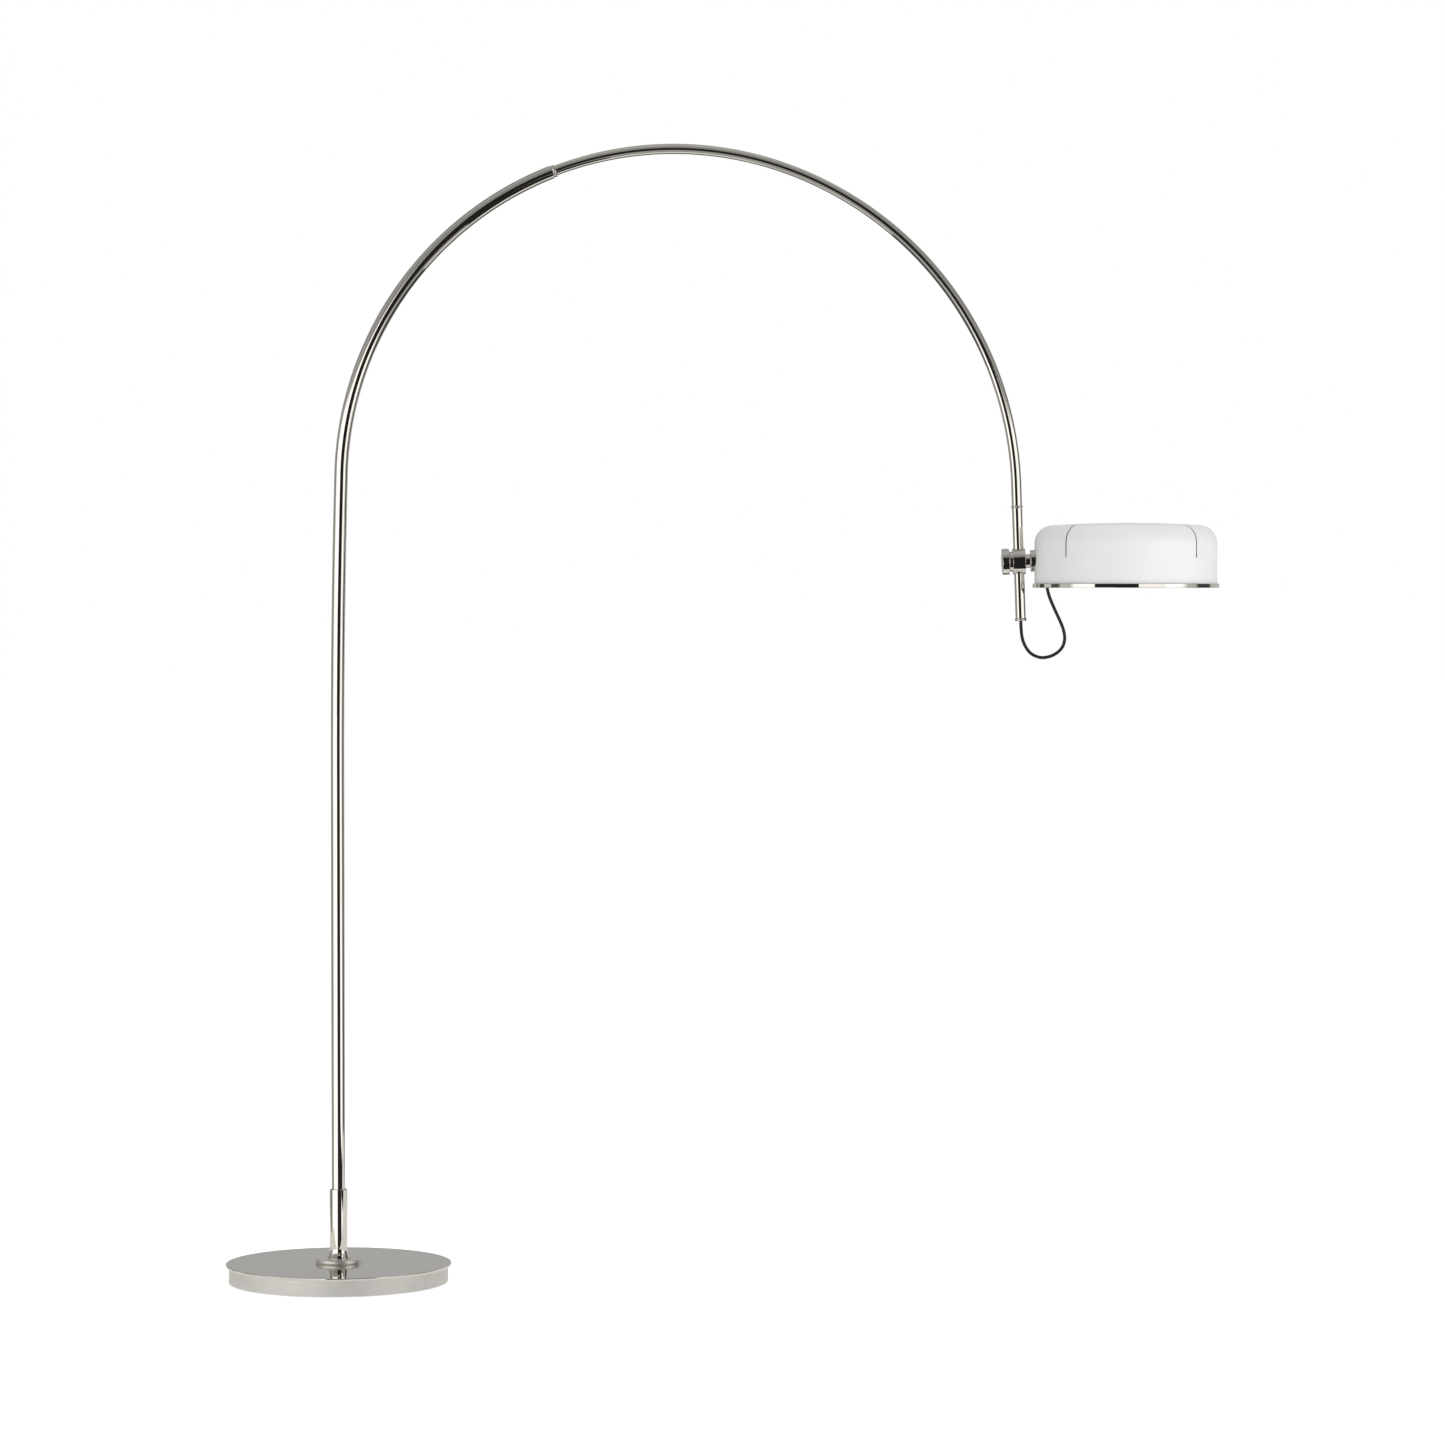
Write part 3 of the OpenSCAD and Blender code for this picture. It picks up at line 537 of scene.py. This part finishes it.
def make_head():
    clear = 0.05
    pad, stud, seat = 5 + clear, 4 + clear, 1
    near, far, body_r, neck_r, shaft_r = -11.6, 11.8, 23.8, 18.5, 12.5
    body = [(pad, near + seat), (neck_r, near + seat), (neck_r, near), (body_r, near, 1.0),
            (body_r, far, 1.0), (shaft_r, far), (shaft_r, far - seat), (0, far - seat), (0, 0), (pad, 0)]
    piece = turned("slider_body_polished", rounded(mm(body), 0, 5), ALONG_HEAD, 128)
    bore = ARM_RO + clear * MM
    rod = [(0, -0.05), (bore, -0.05), (bore, 0.05), (0, 0.05)]
    stands_for(bored(piece, turned("tube_bore", rod, ON_HEAD, 96)), "slider_body")
    neck = [(stud, -17.6, 0.3), (neck_r, -17.6, 1.5), (neck_r, near + seat), (pad, near + seat),
            (pad, -14.5), (stud, -14.5)]
    stands_for(turned("clamp_bushing_polished", rounded(mm(neck), 0, 5), ALONG_HEAD, 128), "clamp_bushing")
    knob = [(0, -30.5), (17.0, -30.5, 1.2), (19.0, -31.1, 1.2), (24, -31.1, 1.6), (24, -17.9, 1.0),
            (4, -17.9), (4, -26.1), (0, -26.1)]
    stands_for(turned("clamp_knob_polished", rounded(mm(knob), 0, 6), ALONG_HEAD, 128), "clamp_knob")
    shaft = [(0, 10.8), (shaft_r, 10.8, 0.2), (shaft_r, 20.6, 0.8), (8, 20.6, 0.2), (8, 36, 0.3),
             (6, 36, 0.1)]
    pitch = 1.75
    for k in range(8):
        x = 36.2 + k * pitch
        shaft += [(6, x, 0), (5.2, x + pitch / 2, 0)]
    shaft += [(6, 50, 0.6), (0, 50, 0)]
    stands_for(turned("pivot_shaft_turned", rounded(mm(shaft), 0, 4), ALONG_HEAD, 96), "pivot_shaft")
    boss = [(8.1, 21.4, 0.3), (20, 21.4, 1.0), (20, 34, 0), (8.1, 34, 0)]
    rows = mm(rounded(boss, 0, 5))
    piece = turned("shade_boss_polished", rows, ALONG_HEAD, 128)
    wall = SHADE_R + 0.05 * MM
    for v in piece.data.vertices:
        v.co.x = min(v.co.x, SHADE_AXIS.translation.x - math.sqrt(wall * wall - v.co.y * v.co.y))
    stands_for(piece, "shade_boss")


# ---------- shade ----------

def make_shell():
    """The spun shell. Columns of its mesh run along the edges of each vent slot, for clean walls."""
    r, t = SHADE_R, 1.0 * MM
    corner, rise = 33 * MM, 4.4 * MM
    z0, top = SHADE_LOW.z, SHADE_HIGH.z
    edge = top - rise
    crown = r - corner
    dome = (crown * crown + rise * rise) / (2 * rise)
    slot_low, slot_in, half = z0 - 2.6 * MM + 55 * MM, 120 * MM, 1.25 * MM

    def side(inset):
        """(radius, z) from the mouth over the corner to the middle of the crown."""
        straight = [(r - inset, z0 + (slot_low - z0) * k / 5) for k in range(5)]
        straight += [(r - inset, slot_low + (edge - corner - slot_low) * k / 3) for k in range(3)]
        bend = [(crown + (corner - inset) * math.cos(math.radians(a)),
                 edge - corner + (corner - inset) * math.sin(math.radians(a))) for a in range(0, 91, 5)]
        over = []
        for radius in [slot_in, *[crown * k / 12 for k in range(10, -1, -1)]]:
            drop = dome - math.sqrt(dome * dome - radius * radius)
            over.append((radius, top - inset - drop))
        return straight + bend + over

    outer, inner = side(0.0), side(t)
    rows = len(outer)
    slot_rows = range(5, rows - 12)
    per_quarter = 64
    columns = []
    for q in range(4):
        middle = 45 + 90 * q
        columns += [(middle, -1), (middle, 1)]
        columns += [(middle + 90 * k / per_quarter, 0) for k in range(1, per_quarter)]
    bm = bmesh.new()
    grid = {}
    for c, (angle, shift) in enumerate(columns):
        for i in range(rows):
            for layer, line in enumerate((outer, inner)):
                radius, z = line[i]
                off = shift * math.asin(min(1.0, half / max(radius, 4 * half)))
                a = math.radians(angle) + off
                grid[c, i, layer] = bm.verts.new((radius * math.cos(a), radius * math.sin(a), z))
    count = len(columns)
    for c in range(count):
        d = (c + 1) % count
        in_slot = columns[c][1] == -1
        for i in range(rows - 1):
            if in_slot and i in slot_rows:
                for e in (c, d):
                    corners = [grid[e, i, 0], grid[e, i + 1, 0], grid[e, i + 1, 1], grid[e, i, 1]]
                    bm.faces.new(corners).material_index = 1
                continue
            for layer in (0, 1):
                corners = [grid[c, i, layer], grid[d, i, layer], grid[d, i + 1, layer],
                           grid[c, i + 1, layer]]
                bm.faces.new(corners).material_index = layer
        bm.faces.new([grid[c, 0, 0], grid[d, 0, 0], grid[d, 0, 1], grid[c, 0, 1]])
        if in_slot:
            for i in (slot_rows[0], slot_rows[-1] + 1):
                corners = [grid[c, i, 0], grid[d, i, 0], grid[d, i, 1], grid[c, i, 1]]
                bm.faces.new(corners).material_index = 1
    for v in bm.verts:
        v.co = SHADE_AXIS @ v.co
    piece = stands_for(finished("shade_shell_painted", bm), "shade_shell")
    # The inside faces take the dark grey that paints shade inside the shade.
    piece.data.materials.append(FINISHES["painted_shade_inside"])


def make_shade_ring():
    mouth = RING_LOW.z / MM
    ring_r, wall_r = (RING_HIGH.x - RING_LOW.x) / 2 / MM, SHADE_R / MM
    inner = wall_r - 1.1
    outline = [(inner - 1.5, mouth, 0.5), (ring_r, mouth, 0.9), (ring_r, mouth + 7.6, 0.8),
               (wall_r + 0.1, mouth + 8, 0.3), (wall_r + 0.05, mouth + 2.6, 0), (inner, mouth + 2.6, 0),
               (inner, mouth + 6, 0.2), (inner - 1.5, mouth + 6, 0.4)]
    stands_for(turned("shade_ring_polished", rounded(mm(outline), 0, 5), SHADE_AXIS, 256), "shade_ring")


# ---------- lamp inside the shade ----------

def make_bracket():
    x0, x1, half, t, arm = 34, 94, 24, 2, 9
    outer = [(x0, -half, 4), (x1, -half, 4), (x1, half, 4), (x0, half, 4)]
    inner = [(x0 + t, -half + t, 2), (x1 - t, -half + t, 2), (x1 - t, half - t, 2), (x0 + t, half - t, 2)]
    yoke = prism("lamp_yoke", mm(rounded(outer, 0, 6)), -arm * MM, arm * MM, ON_HEAD, 0.3 * MM,
                 mm(rounded(inner, 0, 6)))
    stands_for(yoke, "lamp_bracket")
    plate = rounded([(-20, -22, 5), (20, -22, 5), (20, 22, 5), (-20, 22, 5)], 0, 6)
    piece = prism("lamp_yoke_plate", mm(plate), 34.1 * MM, 36.1 * MM, ALONG_HEAD, 0.3 * MM)
    placed(piece, BODIES["lamp_bracket"], "white_paint", FINISHES["white_paint"])


def make_lampholder():
    ribs = []
    for k in range(6):
        x = 105 + k * 4.5
        ribs += [(19, x, 0.3), (19, x + 2.6, 0.3), (18.3, x + 3.1, 0.2), (18.3, x + 4.0, 0.2)]
    outline = [(5, 94, 0.3), (11, 94, 1.5), (18.6, 103.6, 2), *ribs, (19, 134, 0.3), (20, 137, 0.5),
               (20, 140, 0.8), (14.6, 140, 0.5), (14.6, 106, 0.3), (5, 106, 0.3)]
    stands_for(turned("lampholder_moulded", rounded(mm(outline), 0, 3), ALONG_HEAD, 96), "lampholder")
    shell = []
    for k in range(7):
        x = 110 + k * 3.6
        shell += [(14.4, x, 0.6), (13.9, x + 1.8, 0.6)]
    shell = [(14.4, 107, 0.2), *shell, (14.4, 136.5, 0.2), (13.6, 136.5, 0.2), (13.6, 107.6, 0.2),
             (5, 107.6, 0), (5, 107, 0)]
    stands_for(turned("screw_shell_pressed", rounded(mm(shell), 0, 4), ALONG_HEAD, 64), "screw_shell")


def make_bulb():
    cap = [(0, 109.5, 0), (4, 109.5, 1), (4, 112, 0.3), (8, 112.4, 1), (12.4, 115, 1)]
    for k in range(5):
        x = 116.5 + k * 3.6
        cap += [(13.4, x, 0.8), (12.6, x + 1.8, 0.8)]
    cap += [(13.4, 134.6, 0.6), (13.4, 137, 0.2), (0, 137, 0)]
    stands_for(turned("bulb_cap_rolled", rounded(mm(cap), 0, 4), ALONG_HEAD, 64), "bulb_cap")
    ball, middle, neck, lean = 30, 190, 13, 25
    meet = middle - ball * math.sin(math.radians(lean))
    wide = ball * math.cos(math.radians(lean))
    stem = []
    for k in range(1, 10):
        swell = 0.5 - 0.5 * math.cos(math.pi * (0.16 + 0.72 * k / 10))
        stem.append((neck + (wide - neck) * swell, 137 + (meet - 137) * k / 10))
    globe = [(ball * math.cos(math.radians(a)), middle + ball * math.sin(math.radians(a)))
             for a in range(-lean, 91, 5)]
    outline = [(0, 137.2), (neck - 0.4, 137.2), *stem, *globe[:-1], (0, middle + ball)]
    stands_for(turned("bulb_glass_blown", mm(outline), ALONG_HEAD, 96, 60.0), "bulb_glass")


EASED = {"base_screws": 0.3, "foot_washer": 0.3, "foot_nut": 0.6, "stop_screw": 0.15, "cable_gland": 0.5,
         "ring_screw": 0.15, "cord_bush": 0.3, "pivot_washer": 0.2, "disc_spring": 0.15, "pivot_nut": 0.5,
         "cord_clamp": 0.8, "cord_clamp_screw": 0.15, "inner_saddle": 0.5, "bracket_screws": 0.25,
         "nipple": 0.3, "nipple_nut": 0.4, "foot_plug": 0.4, "base_weight": 1.5, "floor_pad": 0.8}


def make_small_parts():
    for node, width in EASED.items():
        stands_for(eased(node, width * MM), node)


def dress_cad_nodes():
    """The CAD nodes that stay in view or inside get their slot's finish."""
    for node, piece in frame["nodes"].items():
        if not piece.hide_render:
            piece.data.materials.clear()
            piece.data.materials.append(FINISHES[SLOTS[node]])


# ---------- studio ----------

def calc(tree, operation, *values):
    n = tree.nodes.new("ShaderNodeMath")
    n.operation = operation
    for socket, value in zip(n.inputs, values):
        if isinstance(value, (int, float)):
            socket.default_value = value
        else:
            tree.links.new(value, socket)
    return n.outputs[0]


def ramp_of(tree, factor, low, high, stops):
    """A grey ramp over factor from low to high, with stops of (place, brightness)."""
    spread = calc(tree, "DIVIDE", calc(tree, "SUBTRACT", factor, low), high - low)
    n = tree.nodes.new("ShaderNodeValToRGB")
    ramp = n.color_ramp
    for k, (place, level) in enumerate(stops):
        position = (place - low) / (high - low)
        stop = ramp.elements[k] if k < 2 else ramp.elements.new(position)
        stop.position = position
        stop.color = (level, level, level, 1.0)
    tree.links.new(spread, n.inputs["Fac"])
    return n.outputs["Color"]


def step_up(tree, factor, low, high):
    n = tree.nodes.new("ShaderNodeMapRange")
    n.interpolation_type = "SMOOTHSTEP"
    n.inputs["From Min"].default_value = low
    n.inputs["From Max"].default_value = high
    tree.links.new(factor, n.inputs["Value"])
    return n.outputs["Result"]


def mixed(tree, factor, one, two):
    return calc(tree, "ADD", calc(tree, "MULTIPLY", one, calc(tree, "SUBTRACT", 1.0, factor)),
                calc(tree, "MULTIPLY", two, factor))


# Brightness of the studio as gloss sees it, in stops of (degrees, level). AROUND goes all round at eye
# level, where 0 is the camera's side and 90 is +X. UPWARD goes from straight down to straight up.
GLOSS_LEVEL = 2.0
AROUND = [(-180, 0.22), (-165, 0.22), (-154, 0.36), (-151, 0.03), (-142, 0.03), (-140, 0.33), (-137, 0.03),
          (-127, 0.03), (-124, 0.36), (-112, 0.36), (-109, 0.05), (-96, 0.05), (-92, 0.33), (-78, 0.30),
          (-70, 0.8), (-9, 0.8), (-7, 0.015), (42, 0.015), (45, 0.8), (68, 0.8), (78, 0.30), (92, 0.26),
          (96, 0.03), (121, 0.03), (126, 0.30), (150, 0.30), (165, 0.22), (180, 0.22)]
UPWARD = [(-90, 0.20), (0, 0.20), (8, 0.17), (20, 0.19), (32, 0.15), (42, 0.15), (55, 0.17), (72, 0.25),
          (90, 0.27)]
# Degrees above or below eye level over which one part of the studio gives way to the next
STEEP, RAISED, LOWERED, SHADED = (45, 66), (10, 16), (18, 26), (14, 26)
SHADE_DEPTH = 0.85


def make_world():
    """White to the camera, soft light for matt surfaces, and a dark-fronted studio for gloss."""
    world = bpy.data.worlds.new("studio")
    bpy.context.scene.world = world
    world.use_nodes = True
    tree = world.node_tree
    back = tree.nodes["Background"]
    back.inputs["Color"].default_value = (1.0, 1.0, 1.0, 1.0)
    place = tree.nodes.new("ShaderNodeTexCoord")
    split = tree.nodes.new("ShaderNodeSeparateXYZ")
    tree.links.new(place.outputs["Generated"], split.inputs["Vector"])
    x, y, z = (split.outputs[k] for k in "XYZ")
    degrees = 180 / math.pi
    front = calc(tree, "MULTIPLY", y, -1.0)
    azimuth = calc(tree, "MULTIPLY", calc(tree, "ARCTAN2", x, front), degrees)
    elevation = calc(tree, "MULTIPLY", calc(tree, "ARCSINE", z), degrees)
    around = ramp_of(tree, azimuth, -180, 180, AROUND)
    upward = ramp_of(tree, elevation, -90, 90, UPWARD)
    steep = step_up(tree, calc(tree, "ABSOLUTE", elevation), *STEEP)
    above = step_up(tree, elevation, *RAISED)
    below = step_up(tree, calc(tree, "MULTIPLY", elevation, -1.0), *LOWERED)
    facing = step_up(tree, front, 0.0, 0.3)
    off_level = calc(tree, "MULTIPLY", calc(tree, "MAXIMUM", above, below), facing)
    weight = calc(tree, "MAXIMUM", steep, off_level)
    low = step_up(tree, calc(tree, "MULTIPLY", elevation, -1.0), *SHADED)
    shaded = calc(tree, "MULTIPLY", low, calc(tree, "SUBTRACT", 1.0, facing))
    lit = calc(tree, "SUBTRACT", 1.0, calc(tree, "MULTIPLY", shaded, SHADE_DEPTH))
    studio = mixed(tree, weight, around, upward)
    gloss = calc(tree, "MULTIPLY", calc(tree, "MULTIPLY", studio, lit), GLOSS_LEVEL)
    path = tree.nodes.new("ShaderNodeLightPath")
    ambient = 0.52
    level = mixed(tree, path.outputs["Is Glossy Ray"], ambient, gloss)
    level = mixed(tree, path.outputs["Is Camera Ray"], level, 1.0)
    tree.links.new(level, back.inputs["Strength"])


def area_light(name, place, target, size, power):
    data = bpy.data.lights.new(name, "AREA")
    data.shape = "RECTANGLE"
    data.size, data.size_y = size
    data.energy = power
    light = bpy.data.objects.new(name, data)
    bpy.context.collection.objects.link(light)
    light.location = place
    light.rotation_euler = (Vector(target) - Vector(place)).to_track_quat("-Z", "Y").to_euler()
    light.visible_glossy = False
    light.visible_camera = False


def glow(name, level):
    m = bpy.data.materials.new(name)
    m.use_nodes = True
    shader = m.node_tree.nodes["Principled BSDF"]
    shader.inputs["Base Color"].default_value = (0.0, 0.0, 0.0, 1.0)
    shader.inputs["Specular IOR Level"].default_value = 0.0
    shader.inputs["Emission Color"].default_value = (1.0, 0.995, 0.98, 1.0)
    shader.inputs["Emission Strength"].default_value = level
    return m


def gloss_card(name, corners, level):
    """A card that only polished surfaces see."""
    card = solid(name, corners, [(0, 1, 2, 3)])
    card.modifiers.clear()
    card.data.materials.append(glow(name, level))
    card.visible_camera = False
    card.visible_diffuse = False
    card.visible_shadow = False
    card.visible_transmission = False


def standing(x0, x1, y, z0, z1):
    return [(x0, y, z0), (x1, y, z0), (x1, y, z1), (x0, y, z1)]


def lying(x0, x1, y0, y1, z):
    return [(x0, y0, z), (x1, y0, z), (x1, y1, z), (x0, y1, z)]


def make_studio():
    make_world()
    area_light("key", (4.2, -3.4, 2.9), (1.3, 0.0, 1.2), (1.6, 2.4), 60)
    area_light("overhead", (0.8, 0.6, 4.4), (0.8, 0.0, 0.0), (3.0, 3.0), 40)
    dark, front, foot = 0.02, -2.0, -0.46
    split_x, split_z, flag_x = 1.83, 1.0, 0.9
    gloss_card("head_flag", standing(-0.35, split_x, front, split_z, 2.84), dark)
    gloss_card("head_panel", standing(split_x, 3.3, front, split_z, 2.0), 1.3)
    gloss_card("head_flag_low", standing(flag_x, split_x, front, 0.0, split_z), dark)
    gloss_card("floor_flag", lying(flag_x, split_x, front, foot, -0.0001), dark)
    gloss_card("floor_glow", lying(-0.7, 2.4, foot, 0.9, -0.0002), 0.85)
    size = 60.0
    floor = solid("floor", lying(-size, size, -size, size, 0), [(0, 1, 2, 3)])
    floor.modifiers.clear()
    floor.location.z = -0.0004
    m = glow("floor", 0.6)
    tree = m.node_tree
    shader = tree.nodes["Principled BSDF"]
    shader.inputs["Base Color"].default_value = (0.88, 0.88, 0.88, 1.0)
    shader.inputs["Roughness"].default_value = 0.9
    side = tree.nodes.new("ShaderNodeNewGeometry")
    clear = tree.nodes.new("ShaderNodeBsdfTransparent")
    either = tree.nodes.new("ShaderNodeMixShader")
    tree.links.new(side.outputs["Backfacing"], either.inputs[0])
    tree.links.new(shader.outputs[0], either.inputs[1])
    tree.links.new(clear.outputs[0], either.inputs[2])
    tree.links.new(either.outputs[0], tree.nodes["Material Output"].inputs["Surface"])
    floor.data.materials.append(m)
    floor.visible_glossy = False
    bpy.context.scene.view_settings.view_transform = "Standard"


make_camera()
FINISHES = make_finishes()
make_cord()
make_base()
make_foot()
make_tubes()
make_rings()
make_head()
make_shell()
make_shade_ring()
make_bracket()
make_lampholder()
make_bulb()
make_small_parts()
dress_cad_nodes()
make_studio()
